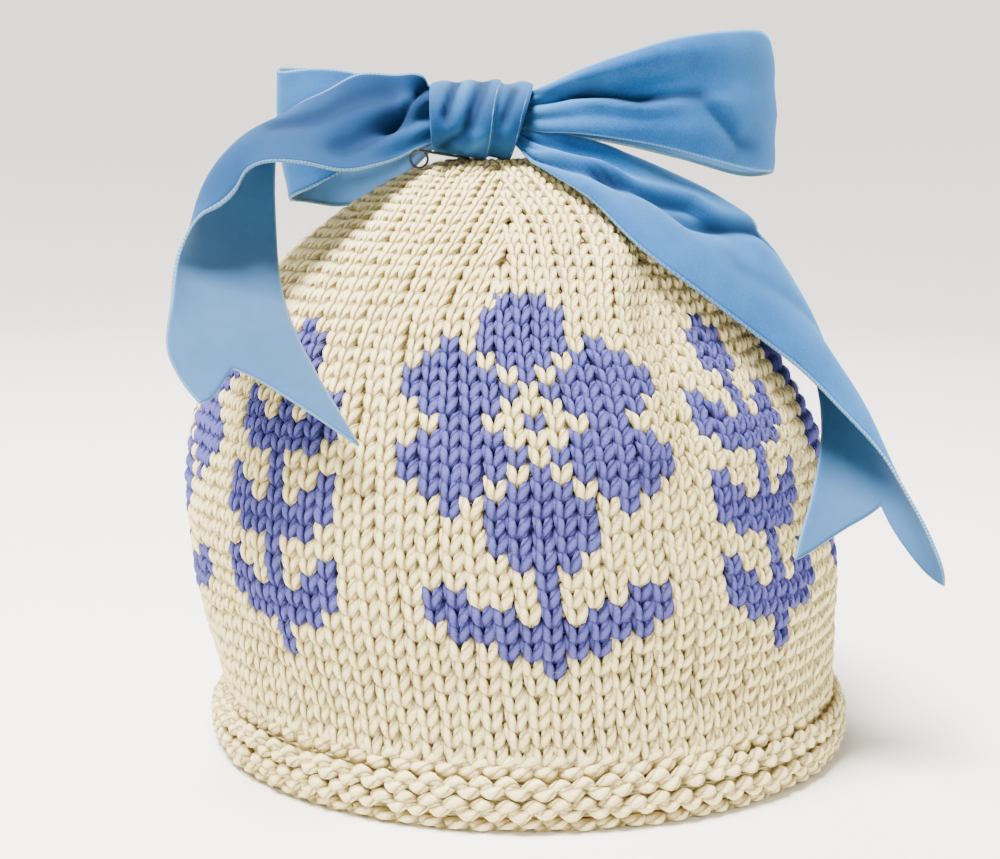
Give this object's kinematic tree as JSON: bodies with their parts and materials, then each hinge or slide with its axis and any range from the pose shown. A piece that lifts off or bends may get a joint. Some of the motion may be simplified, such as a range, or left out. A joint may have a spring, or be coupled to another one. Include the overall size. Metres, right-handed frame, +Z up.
{
  "type": "tea cosy",
  "caption": "Hand-knitted tea cosy with a rolled hem and side slits for handle and spout, tied at the crown with a velvet ribbon bow.",
  "frame": {"origin": "centre of the whole object's box at the level of the surface it stands on, inside the rolled hem", "axes": "+Z up; -Y towards the front, +X towards the spout side, -X towards the handle side"},
  "size_m": [0.1833, 0.1656, 0.1805],
  "materials": {
    "wool": "thick plied cream wool, stocking stitch, soft halo, matte",
    "velvet": "mid-blue velvet pile on the face, matte paler back, thin woven edges",
    "steel": "darkened bent wire, smooth"
  },
  "bodies": {
    "root": {"cosy_body": "wool", "ribbon_knot": "velvet", "ribbon_loop_left": "velvet", "ribbon_loop_right": "velvet", "ribbon_tail_left": "velvet", "ribbon_tail_right": "velvet", "safety_pin": "steel"}
  },
  "joints": []
}
